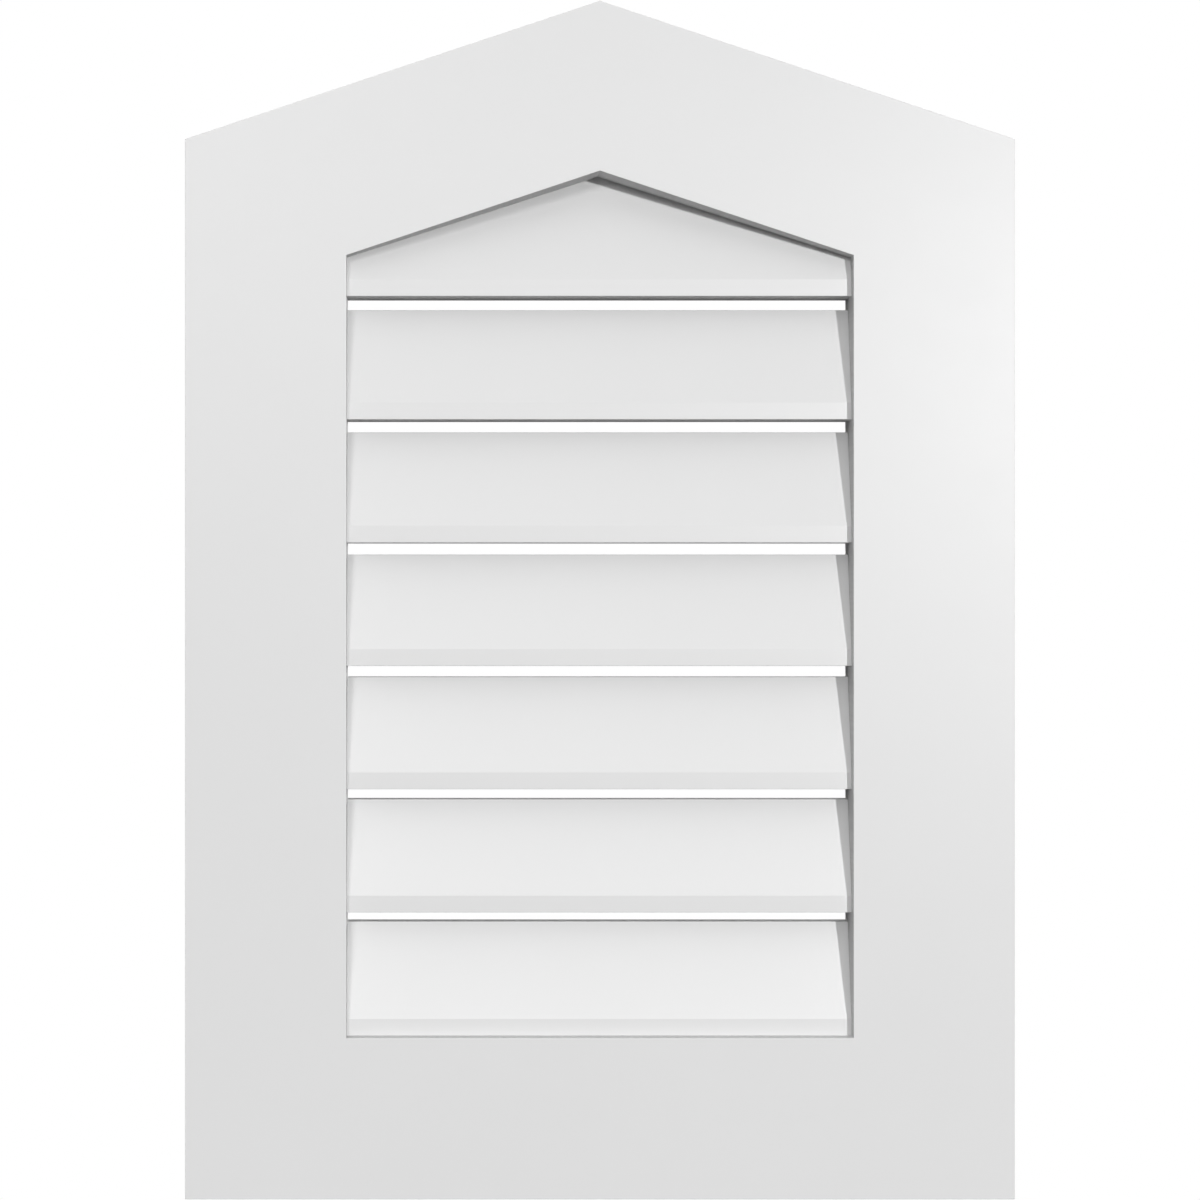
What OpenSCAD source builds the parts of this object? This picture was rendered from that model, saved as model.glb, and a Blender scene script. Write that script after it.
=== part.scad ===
// Peaked gable vent in cellular PVC: a mitred flat board frame with a bank of bevelled louvers.
// The vent stands as it hangs on a wall. Its back lies in the plane Y = 0 and its front faces -Y.
// The origin is the middle of the back's bottom edge.

/* [Overall] */
// Width over the two stiles
vent_w = 457.2; // [360:0.1:760]
// Height from the bottom edge to the peak
vent_h = 660.4; // [520:0.1:1200]
// Rise of the roof line for each 12 of run
pitch_rise = 4; // [2:0.5:12]

/* [Frame boards] */
// Width of every frame board
board_w = 88.9; // [40:0.1:130]
// Thickness of the frame boards
board_t = 25.4; // [20:0.05:38.1]

/* [Louvers] */
// Number of louvers, with the peaked one
louver_count = 7; // [4:1:10]
// Thickness of the louver board at its nose
louver_t = 19.05; // [14:0.05:20]
// Thickness left at the louver's top edge
crest_t = 7.9; // [5:0.05:12]
// Height of the plumb nose
nose_h = 9.3; // [4:0.1:16]
// Height of the open slot between two louvers
slot_h = 6.35; // [3:0.05:12]

/* [Hidden] */
// Run that the rise of the roof line is given for
pitch_run = 12;
// How far a louver blank runs past the opening before it is cut to fit
blank_overrun = 1;

// The opening that the frame boards leave
roof_slope = pitch_rise / pitch_run;
roof_angle = atan(roof_slope);
half_w = vent_w / 2;
opening_half_w = half_w - board_w;
shoulder_z = vent_h - half_w * roof_slope;
opening_peak_z = vent_h - board_w / cos(roof_angle);
opening_shoulder_z = opening_peak_z - opening_half_w * roof_slope;
sill_z = board_w;

// The louvers share the height from the sill to the opening's peak equally
louver_step = (opening_peak_z - sill_z) / louver_count;
louver_h = louver_step - slot_h;
bevel_slope = (louver_t - crest_t) / (louver_h - nose_h);
last_louver = louver_count - 1;

pvc_white = "#ebebeb";

// Corners of the outline and of the opening, as [x, z]
function outer_foot(side) = [side * half_w, 0];
function outer_shoulder(side) = [side * half_w, shoulder_z];
function inner_foot(side) = [side * opening_half_w, sill_z];
function inner_shoulder(side) = [side * opening_half_w, opening_shoulder_z];
outer_peak = [0, vent_h];
inner_peak = [0, opening_peak_z];

// A plate standing on the wall plane, from an outline drawn as [x, z]
module wall_plate(outline, thickness) {
    rotate([90, 0, 0])
        linear_extrude(height = thickness)
            polygon(outline);
}

// Frame boards, mitred where two of them meet
module frame_board(outline) {
    color(pvc_white) wall_plate(outline, board_t);
}

module bottom_rail() {
    frame_board([outer_foot(-1), outer_foot(1), inner_foot(1), inner_foot(-1)]);
}

module stile(side) {
    frame_board([outer_foot(side), outer_shoulder(side), inner_shoulder(side), inner_foot(side)]);
}

module rake_board(side) {
    frame_board([outer_shoulder(side), outer_peak, inner_peak, inner_shoulder(side)]);
}

// The opening as a solid, which every louver is cut to
module opening_block() {
    translate([0, blank_overrun, 0])
        wall_plate(
            [inner_foot(-1), inner_foot(1), inner_shoulder(1), inner_peak, inner_shoulder(-1)],
            board_t + 2 * blank_overrun
        );
}

// A louver blank of height h: flat back, plumb nose and bevelled face, drawn as [y, z]
module louver_blank(h) {
    top_t = louver_t - (h - nose_h) * bevel_slope;
    rotate([90, 0, 90])
        linear_extrude(height = 2 * (opening_half_w + blank_overrun), center = true)
            polygon([[0, 0], [-louver_t, 0], [-louver_t, nose_h], [-top_t, h], [0, h]]);
}

// Louver by its place from the top, where place 0 fills the peak and has no slot over it
module louver(place) {
    h = place == 0 ? louver_step + blank_overrun : louver_h;
    color(pvc_white)
        intersection() {
            translate([0, 0, sill_z + (last_louver - place) * louver_step])
                louver_blank(h);
            opening_block();
        }
}

bottom_rail();
stile(-1);  // left_stile
stile(1);  // right_stile
rake_board(-1);  // left_rake_board
rake_board(1);  // right_rake_board
louver(0);  // peak_louver
for (i = [1:last_louver])
    louver(i);
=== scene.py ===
import math

import bmesh
import bpy
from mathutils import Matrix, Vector


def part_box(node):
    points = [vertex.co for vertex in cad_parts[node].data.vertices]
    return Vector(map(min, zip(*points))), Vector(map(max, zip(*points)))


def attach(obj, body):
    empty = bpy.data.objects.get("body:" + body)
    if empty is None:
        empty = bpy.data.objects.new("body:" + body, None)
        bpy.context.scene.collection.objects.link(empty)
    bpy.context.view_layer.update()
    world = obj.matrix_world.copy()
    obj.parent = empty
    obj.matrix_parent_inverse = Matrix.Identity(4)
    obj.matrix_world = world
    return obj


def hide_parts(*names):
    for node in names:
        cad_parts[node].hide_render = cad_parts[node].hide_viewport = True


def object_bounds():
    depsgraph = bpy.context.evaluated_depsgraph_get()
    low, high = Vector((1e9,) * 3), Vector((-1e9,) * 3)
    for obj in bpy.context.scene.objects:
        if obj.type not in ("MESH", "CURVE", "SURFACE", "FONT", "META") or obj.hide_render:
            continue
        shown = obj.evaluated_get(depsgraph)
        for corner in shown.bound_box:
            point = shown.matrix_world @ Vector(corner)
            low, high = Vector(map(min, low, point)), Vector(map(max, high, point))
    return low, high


bl_info = {
    "name": "Peaked Gable Vent",
    "version": (1, 0, 0),
    "blender": (4, 5, 0),
    "location": "View3D > Sidebar > Gable Vent",
    "description": "Dresses a cellular PVC gable vent and lights it as a product picture",
    "category": "Object",
}

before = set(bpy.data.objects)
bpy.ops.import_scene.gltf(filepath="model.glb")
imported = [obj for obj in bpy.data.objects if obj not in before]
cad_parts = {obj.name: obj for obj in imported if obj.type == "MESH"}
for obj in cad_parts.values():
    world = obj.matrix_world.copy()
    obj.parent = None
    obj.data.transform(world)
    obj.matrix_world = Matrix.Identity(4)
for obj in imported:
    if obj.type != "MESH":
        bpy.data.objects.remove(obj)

# Lengths are in metres
MM = 0.001
INCH = 25.4 * MM
BODY = "root"

BOARDS = ("bottom_rail", "left_stile", "right_stile", "left_rake_board", "right_rake_board")
LOUVERS = tuple(sorted(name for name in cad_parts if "louver" in name))
CAD_LOW, CAD_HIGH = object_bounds()
MIDDLE = (CAD_LOW + CAD_HIGH) / 2
FRONT_Y, BACK_Y = CAD_LOW.y, CAD_HIGH.y

# Corners closer than this are one corner, and faces that turn less than this are one flat face
WELD = 0.001 * MM
FLAT_TURN = math.radians(0.5)
# An edge is level when more than this share of its direction lies along X
LEVEL_SHARE = 0.99
# A face looks out, to the front or the back, when more than this share of its normal lies along Y. The
# bevelled faces lean so little that they do too.
LOOKS_OUT_SHARE = 0.9
# An eased edge is a quarter round in three strips
ARRIS_STRIPS = 3
ROUND_PROFILE = 0.5

# The two finishes, in the order of every piece's materials
SKIN = "cellular_pvc_extruded_skin"
# The sawn finish is matt foam, greyer than the skin as painted shade for the opening's walls, ceilings
# and sill
SAWN_AND_SHADE = "cellular_pvc_sawn_edge"
FINISHES = (SKIN, SAWN_AND_SHADE)
PVC_IOR = 1.5
# What noise in space and noise along a line mostly keep to
SPACE_NOISE = {"From Min": 0.3, "From Max": 0.7}
LINE_NOISE = {"From Min": 0.25, "From Max": 0.75}
WHITE = (1, 1, 1, 1)

# The floor reaches this far each way, and this share of it is glow for the eye in place of paint
FLOOR_REACH = 1.8
FLOOR_GLOW = 0.8
# Distant lamps light the same from any distance, so this only keeps them clear of the vent
LAMP_STAND_OFF = 3
# Degrees right of the front, degrees up, degrees across, and the name of its strength in StudioLight.
# The key lamp is where the right stile's shadow on the louvers ends as it does in the photograph.
LAMPS = {
    "key_lamp": (21.6, 6.3, 0.6, "key"),
    "overhead_lamp": (0, 70, 68, "overhead"),
    "upper_left_lamp": (-12, 16, 14, "upper_left"),
    "left_lamp": (-60, 25, 60, "left"),
    "front_lamp": (2, 9, 14, "front"),
    "back_lamp": (158, 6, 10, "back"),
    "left_edge_lamp": (-95, 15, 10, "sides"),
    "right_edge_lamp": (95, 15, 10, "sides"),
}

# In pixels of the photograph: its width, how far left of its middle the edges that run from front to
# back meet, and an inch on the vent's face
PHOTO_PX = 1200
MEETING_PX = 175
PX_PER_INCH = 46.11
# The lens stands this far in front of the vent's face, at half its height
LENS_TO_FACE = 49.5 * INCH
SENSOR_MM = 36


def linear(hex_colour):
    """An sRGB hex colour as linear red, green and blue."""
    values = [int(hex_colour[i:i + 2], 16) / 255 for i in (1, 3, 5)]
    return [v / 12.92 if v <= 0.04045 else ((v + 0.055) / 1.055) ** 2.4 for v in values]


def add(tree, kind, settings=None, links=None):
    """Adds a node, sets its properties and sockets, and feeds its sockets from others.

    A socket goes by its name, or by its number where two share a name.
    """
    node = tree.nodes.new(kind)
    for name, value in (settings or {}).items():
        if isinstance(name, int) or name in node.inputs:
            node.inputs[name].default_value = value
        else:
            setattr(node, name, value)
    for name, source in (links or {}).items():
        tree.links.new(source, node.inputs[name])
    return node


def new_material(name):
    """An empty material, with its node tree."""
    material = bpy.data.materials.new(name)
    material.use_nodes = True
    material.node_tree.nodes.clear()
    return material, material.node_tree


def varied_colour(tree, place, colour, size_mm, share):
    """A colour that wanders by a small share of itself over patches of a real size."""
    patches = add(
        tree, "ShaderNodeTexNoise",
        {"Scale": 1 / (size_mm * MM), "Detail": 3},
        {"Vector": place},
    )
    shade = add(
        tree, "ShaderNodeMapRange",
        {**SPACE_NOISE, "To Min": 1 - share, "To Max": 1 + share},
        {"Value": patches.outputs["Fac"]},
    )
    return add(
        tree, "ShaderNodeVectorMath",
        {"operation": "SCALE", "Vector": colour[:3]},
        {"Scale": shade.outputs["Result"]},
    ).outputs["Vector"]


def extruded_skin(colour):
    """Cellular PVC sheet as it leaves the sizing plates: a closed satin skin, almost flat.

    To the eye it is an even white with one broad soft highlight and a trace of orange peel.
    """
    least_roughness, most_roughness = 0.335, 0.355
    gloss_patch_mm = 18
    peel_mm = 2.4
    peel_depth_mm = 0.002
    material, tree = new_material(SKIN)
    place = add(tree, "ShaderNodeTexCoord").outputs["Object"]
    tint = varied_colour(tree, place, colour, size_mm=70, share=0.004)
    rough = add(
        tree, "ShaderNodeTexNoise",
        {"Scale": 1 / (gloss_patch_mm * MM), "Detail": 3},
        {"Vector": place},
    )
    satin = add(
        tree, "ShaderNodeMapRange",
        {**SPACE_NOISE, "To Min": least_roughness, "To Max": most_roughness},
        {"Value": rough.outputs["Fac"]},
    )
    peel = add(
        tree, "ShaderNodeTexNoise",
        {"Scale": 1 / (peel_mm * MM), "Detail": 2},
        {"Vector": place},
    )
    bump = add(
        tree, "ShaderNodeBump",
        {"Strength": 1.0, "Distance": peel_depth_mm * MM},
        {"Height": peel.outputs["Fac"]},
    )
    shader = add(
        tree, "ShaderNodeBsdfPrincipled",
        {"IOR": PVC_IOR, "Specular IOR Level": 0.5},
        {"Base Color": tint, "Roughness": satin.outputs["Result"], "Normal": bump.outputs["Normal"]},
    )
    add(tree, "ShaderNodeOutputMaterial", links={"Surface": shader.outputs["BSDF"]})
    return material


def sawn_finish_and_painted_shade(colour):
    """Cellular PVC where a saw or cutter has opened the foam: matt, with fine cells and cutter lines.

    To the eye it is the same white without the highlight, a shade greyer as painted shade for the
    narrow walls, slot ceilings and sill in the opening, and a little rough from close by.
    """
    # The foam's cells are about 0.1 mm across, too fine to show, so they are drawn coarser
    cell_mm = 0.9
    line_mm = 2.5
    relief_mm = 0.03
    line_share = 0.03
    material, tree = new_material(SAWN_AND_SHADE)
    place = add(tree, "ShaderNodeTexCoord").outputs["Object"]
    cells = add(tree, "ShaderNodeTexVoronoi", {"Scale": 1 / (cell_mm * MM)}, {"Vector": place})
    # The cutter's lines cross the board's thickness, so they change along its length and width only
    along = add(
        tree, "ShaderNodeVectorMath",
        {"operation": "DOT_PRODUCT", 1: (1, 0, 1)},
        {0: place},
    )
    lines = add(
        tree, "ShaderNodeTexNoise",
        {"noise_dimensions": "1D", "Scale": 1 / (line_mm * MM), "Detail": 2},
        {"W": along.outputs["Value"]},
    )
    marks = add(
        tree, "ShaderNodeMapRange",
        {**LINE_NOISE, "To Min": 1 - line_share, "To Max": 1 + line_share},
        {"Value": lines.outputs["Fac"]},
    )
    # The grey of this colour is painted shade for the opening's narrow walls, slot ceilings and sill
    plain_tint = varied_colour(tree, place, colour, size_mm=25, share=0.01)
    tint = add(
        tree, "ShaderNodeVectorMath",
        {"operation": "SCALE"},
        {0: plain_tint, "Scale": marks.outputs["Result"]},
    )
    height = add(
        tree, "ShaderNodeMath",
        {"operation": "ADD"},
        {0: cells.outputs["Distance"], 1: lines.outputs["Fac"]},
    )
    bump = add(
        tree, "ShaderNodeBump",
        {"Strength": 1.0, "Distance": relief_mm * MM},
        {"Height": height.outputs["Value"]},
    )
    shader = add(
        tree, "ShaderNodeBsdfPrincipled",
        {"Roughness": 0.95, "IOR": PVC_IOR, "Specular IOR Level": 0.1},
        {"Base Color": tint.outputs["Vector"], "Normal": bump.outputs["Normal"]},
    )
    add(tree, "ShaderNodeOutputMaterial", links={"Surface": shader.outputs["BSDF"]})
    return material


def materials():
    """The two finishes, made once and shared by every piece."""
    if SKIN in bpy.data.materials:
        return [bpy.data.materials[name] for name in FINISHES]
    colours = bpy.context.scene.vent_colours
    return [extruded_skin(colours.skin), sawn_finish_and_painted_shade(colours.edge)]


def solid_of(node):
    """The CAD node's solid with whole flat faces in place of triangles."""
    solid = bmesh.new()
    solid.from_mesh(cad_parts[node].data)
    bmesh.ops.remove_doubles(solid, verts=solid.verts, dist=WELD)
    bmesh.ops.dissolve_limit(solid, angle_limit=FLAT_TURN, verts=solid.verts, edges=solid.edges)
    solid.normal_update()
    return solid


def lies_at(edge, y):
    """Does the whole edge lie at this depth?"""
    return all(abs(vert.co.y - y) < WELD for vert in edge.verts)


def on_outline(vert):
    """Is the corner one of the vent's five outer corners?"""
    return abs(abs(vert.co.x) - CAD_HIGH.x) < WELD or abs(vert.co.z - CAD_HIGH.z) < WELD


def finish_piece(node, solid, eased, arris):
    """Eases the chosen edges, gives each face its finish and puts the piece in its node's place."""
    bmesh.ops.bevel(
        solid, geom=eased, offset=arris, segments=ARRIS_STRIPS, profile=ROUND_PROFILE,
        affect="EDGES", clamp_overlap=True,
    )
    solid.normal_update()
    for face in solid.faces:
        # Faces that don't look out get the sawn finish, whose grey is painted shade
        looks_out = abs(face.normal.y) > LOOKS_OUT_SHARE
        face.material_index = FINISHES.index(SKIN if looks_out else SAWN_AND_SHADE)
    name = f"{node}_piece"
    mesh = bpy.data.meshes.new(name)
    solid.to_mesh(mesh)
    solid.free()
    for material in materials():
        mesh.materials.append(material)
    piece = bpy.data.objects.new(name, mesh)
    bpy.context.scene.collection.objects.link(piece)
    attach(piece, BODY)
    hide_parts(node)


class VentSizes(bpy.types.PropertyGroup):
    """Sizes that the frame doesn't give"""

    arris: bpy.props.FloatProperty(
        name="Arris",
        description="How far the long edges of boards and louvers are eased with fine abrasive",
        default=0.3 * MM, min=0.05 * MM, max=1.5 * MM,
        precision=5, subtype="DISTANCE", unit="LENGTH",
    )
    floor_drop: bpy.props.FloatProperty(
        name="Floor below",
        description="Height of the hung vent's bottom edge over the studio floor",
        default=0.55, min=0.1, max=2.0,
        subtype="DISTANCE", unit="LENGTH",
    )


class VentColours(bpy.types.PropertyGroup):
    """Base colours of the finishes"""

    skin: bpy.props.FloatVectorProperty(
        name="Skin",
        description="Colour of the extruded faces, front and back, with the noses and bevels",
        default=linear("#e6e6e6"), subtype="COLOR", min=0, max=1,
    )
    # Greyer than the skin as painted shade: it darkens the opening's walls, slot ceilings and sill, and
    # outer edges
    edge: bpy.props.FloatVectorProperty(
        name="Sawn edge",
        description="Colour of the sawn edges and ends",
        default=linear("#d0d0d0"), subtype="COLOR", min=0, max=1,
    )
    floor: bpy.props.FloatVectorProperty(
        name="Floor",
        description="Colour of the studio floor",
        default=linear("#f4f4f4"), subtype="COLOR", min=0, max=1,
    )


class StudioLight(bpy.types.PropertyGroup):
    """Strengths of the lamps, in watts for each square metre that faces them, and of the surroundings"""

    key: bpy.props.FloatProperty(
        name="Key",
        description="Strength of the hard lamp from the right",
        default=1.365, min=0,
    )
    overhead: bpy.props.FloatProperty(
        name="Overhead",
        description="Strength of the broad lamp above and in front",
        default=1.2, min=0,
    )
    upper_left: bpy.props.FloatProperty(
        name="Upper left",
        description="Strength of the soft lamp that brightens the upper left",
        default=0.6, min=0,
    )
    left: bpy.props.FloatProperty(
        name="Left",
        description="Strength of the broad lamp on the left",
        default=0.13, min=0,
    )
    front: bpy.props.FloatProperty(
        name="Front",
        description="Strength of the soft lamp almost straight in front",
        default=0.18, min=0,
    )
    back: bpy.props.FloatProperty(
        name="Back",
        description="Strength of the soft lamp on the wall side",
        default=2.2, min=0,
    )
    sides: bpy.props.FloatProperty(
        name="Sides",
        description="Strength of the two soft lamps that light the outer edges",
        default=1.4, min=0,
    )
    fill: bpy.props.FloatProperty(
        name="Fill",
        description="Strength of the surroundings on the vent",
        default=0.05, min=0,
    )


class VENT_OT_frame_boards(bpy.types.Operator):
    """Make the five mitred frame boards"""

    bl_idname = "vent.frame_boards"
    bl_label = "Frame boards"

    def execute(self, context):
        for node in BOARDS:
            solid = solid_of(node)
            # The mitres are filled and flush in front, so there only the outline and the opening
            # are eased. Behind they are left open, as fine lines.
            eased = [
                edge for edge in solid.edges
                if lies_at(edge, BACK_Y)
                or lies_at(edge, FRONT_Y) and on_outline(edge.verts[0]) == on_outline(edge.verts[1])
            ]
            finish_piece(node, solid, eased, context.scene.vent_sizes.arris)
        return {"FINISHED"}


class VENT_OT_louvers(bpy.types.Operator):
    """Make the bank of bevelled louvers"""

    bl_idname = "vent.louvers"
    bl_label = "Louvers"

    def execute(self, context):
        for node in LOUVERS:
            solid = solid_of(node)
            nose_y, foot_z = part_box(node)[0].yz
            eased = []
            for edge in solid.edges:
                start, end = (vert.co for vert in edge.verts)
                level = abs((start - end).normalized().x) > LEVEL_SHARE
                # The bevel leaves the nose at too slight an angle to ease
                nose_top = lies_at(edge, nose_y) and start.z > foot_z + WELD
                if lies_at(edge, BACK_Y) or level and not nose_top:
                    eased.append(edge)
            finish_piece(node, solid, eased, context.scene.vent_sizes.arris)
        return {"FINISHED"}


def white_to_the_eye(tree):
    """1 for the rays by which the camera, gloss and glass see the backdrop, else 0."""
    path = add(tree, "ShaderNodeLightPath")
    camera_or_gloss = add(
        tree, "ShaderNodeMath",
        {"operation": "MAXIMUM"},
        {0: path.outputs["Is Camera Ray"], 1: path.outputs["Is Glossy Ray"]},
    )
    return add(
        tree, "ShaderNodeMath",
        {"operation": "MAXIMUM"},
        {0: camera_or_gloss.outputs["Value"], 1: path.outputs["Is Transmission Ray"]},
    ).outputs["Value"]


def painted_floor(colour):
    """A studio floor in matt white paint, lifted towards a clean white for the eye."""
    material, tree = new_material("matt_floor_paint")
    place = add(tree, "ShaderNodeTexCoord").outputs["Object"]
    tint = varied_colour(tree, place, colour, size_mm=300, share=0.004)
    paint = add(tree, "ShaderNodeBsdfDiffuse", {"Roughness": 0.6}, {"Color": tint})
    glow = add(
        tree, "ShaderNodeEmission",
        {"Color": WHITE},
        {"Strength": white_to_the_eye(tree)},
    )
    mix = add(
        tree, "ShaderNodeMixShader",
        {"Fac": FLOOR_GLOW},
        {1: paint.outputs["BSDF"], 2: glow.outputs["Emission"]},
    )
    add(tree, "ShaderNodeOutputMaterial", links={"Surface": mix.outputs["Shader"]})
    return material


def make_floor(colour, floor_z):
    """The square studio floor under the vent."""
    corners = [
        (side * FLOOR_REACH, depth * FLOOR_REACH, floor_z)
        for side, depth in ((-1, -1), (1, -1), (1, 1), (-1, 1))
    ]
    mesh = bpy.data.meshes.new("studio_floor")
    mesh.from_pydata(corners, [], [(0, 1, 2, 3)])
    mesh.materials.append(painted_floor(colour))
    floor_object = bpy.data.objects.new("studio_floor", mesh)
    bpy.context.scene.collection.objects.link(floor_object)


def make_world(fill):
    """White surroundings for the eye, which light the vent only a little."""
    world = bpy.data.worlds.new("white_studio")
    world.use_nodes = True
    tree = world.node_tree
    tree.nodes.clear()
    dim = add(tree, "ShaderNodeBackground", {"Color": WHITE, "Strength": fill}).outputs["Background"]
    full = add(tree, "ShaderNodeBackground", {"Color": WHITE, "Strength": 1.0}).outputs["Background"]
    mix = add(
        tree, "ShaderNodeMixShader",
        links={"Fac": white_to_the_eye(tree), 1: dim, 2: full},
    )
    add(tree, "ShaderNodeOutputWorld", links={"Surface": mix.outputs["Shader"]})
    bpy.context.scene.world = world


def add_lamp(name, azimuth, elevation, width, strength):
    """A distant lamp, by degrees right of the front, degrees up and degrees across."""
    turn, tilt = math.radians(azimuth), math.radians(elevation)
    towards = Vector(
        (math.sin(turn) * math.cos(tilt), -math.cos(turn) * math.cos(tilt), math.sin(tilt))
    )
    data = bpy.data.lights.new(name, "SUN")
    data.energy = strength
    data.angle = math.radians(width)
    lamp = bpy.data.objects.new(name, data)
    lamp.location = MIDDLE + towards * LAMP_STAND_OFF
    lamp.rotation_euler = towards.to_track_quat("Z", "Y").to_euler()
    bpy.context.scene.collection.objects.link(lamp)


def make_camera():
    """The photograph's camera: level, square to the face, left of the middle and shifted back to it."""
    data = bpy.data.cameras.new("camera")
    data.sensor_width = SENSOR_MM
    data.lens = SENSOR_MM * LENS_TO_FACE / (PHOTO_PX / PX_PER_INCH * INCH)
    data.shift_x = MEETING_PX / PHOTO_PX
    camera = bpy.data.objects.new("camera", data)
    left = MEETING_PX / PX_PER_INCH * INCH
    camera.location = (MIDDLE.x - left, FRONT_Y - LENS_TO_FACE, MIDDLE.z)
    camera.rotation_euler = (math.radians(90), 0, 0)
    bpy.context.scene.collection.objects.link(camera)
    bpy.context.scene.camera = camera


class VENT_OT_stage(bpy.types.Operator):
    """Make the floor, the lamps and the camera"""

    bl_idname = "vent.stage"
    bl_label = "Stage"

    def execute(self, context):
        scene = context.scene
        light = scene.vent_light
        make_floor(scene.vent_colours.floor, CAD_LOW.z - scene.vent_sizes.floor_drop)
        make_world(light.fill)
        for name, (azimuth, elevation, width, strength) in LAMPS.items():
            add_lamp(name, azimuth, elevation, width, getattr(light, strength))
        make_camera()
        scene.view_settings.view_transform = "Standard"
        return {"FINISHED"}


class VENT_PT_panel(bpy.types.Panel):
    bl_label = "Gable Vent"
    bl_idname = "VENT_PT_panel"
    bl_space_type = "VIEW_3D"
    bl_region_type = "UI"
    bl_category = "Gable Vent"

    def draw(self, context):
        for group_name, group in GROUPS.items():
            for name in group.__annotations__:
                self.layout.prop(getattr(context.scene, group_name), name)
        for operator in OPERATORS:
            self.layout.operator(operator.bl_idname)


GROUPS = {"vent_sizes": VentSizes, "vent_colours": VentColours, "vent_light": StudioLight}
OPERATORS = (VENT_OT_frame_boards, VENT_OT_louvers, VENT_OT_stage)
CLASSES = (*GROUPS.values(), *OPERATORS, VENT_PT_panel)


def register():
    for item in CLASSES:
        bpy.utils.register_class(item)
    for name, group in GROUPS.items():
        setattr(bpy.types.Scene, name, bpy.props.PointerProperty(type=group))


def unregister():
    for name in GROUPS:
        delattr(bpy.types.Scene, name)
    for item in reversed(CLASSES):
        bpy.utils.unregister_class(item)


def main():
    register()
    bpy.ops.vent.frame_boards()
    bpy.ops.vent.louvers()
    bpy.ops.vent.stage()


if __name__ == "__main__":
    main()
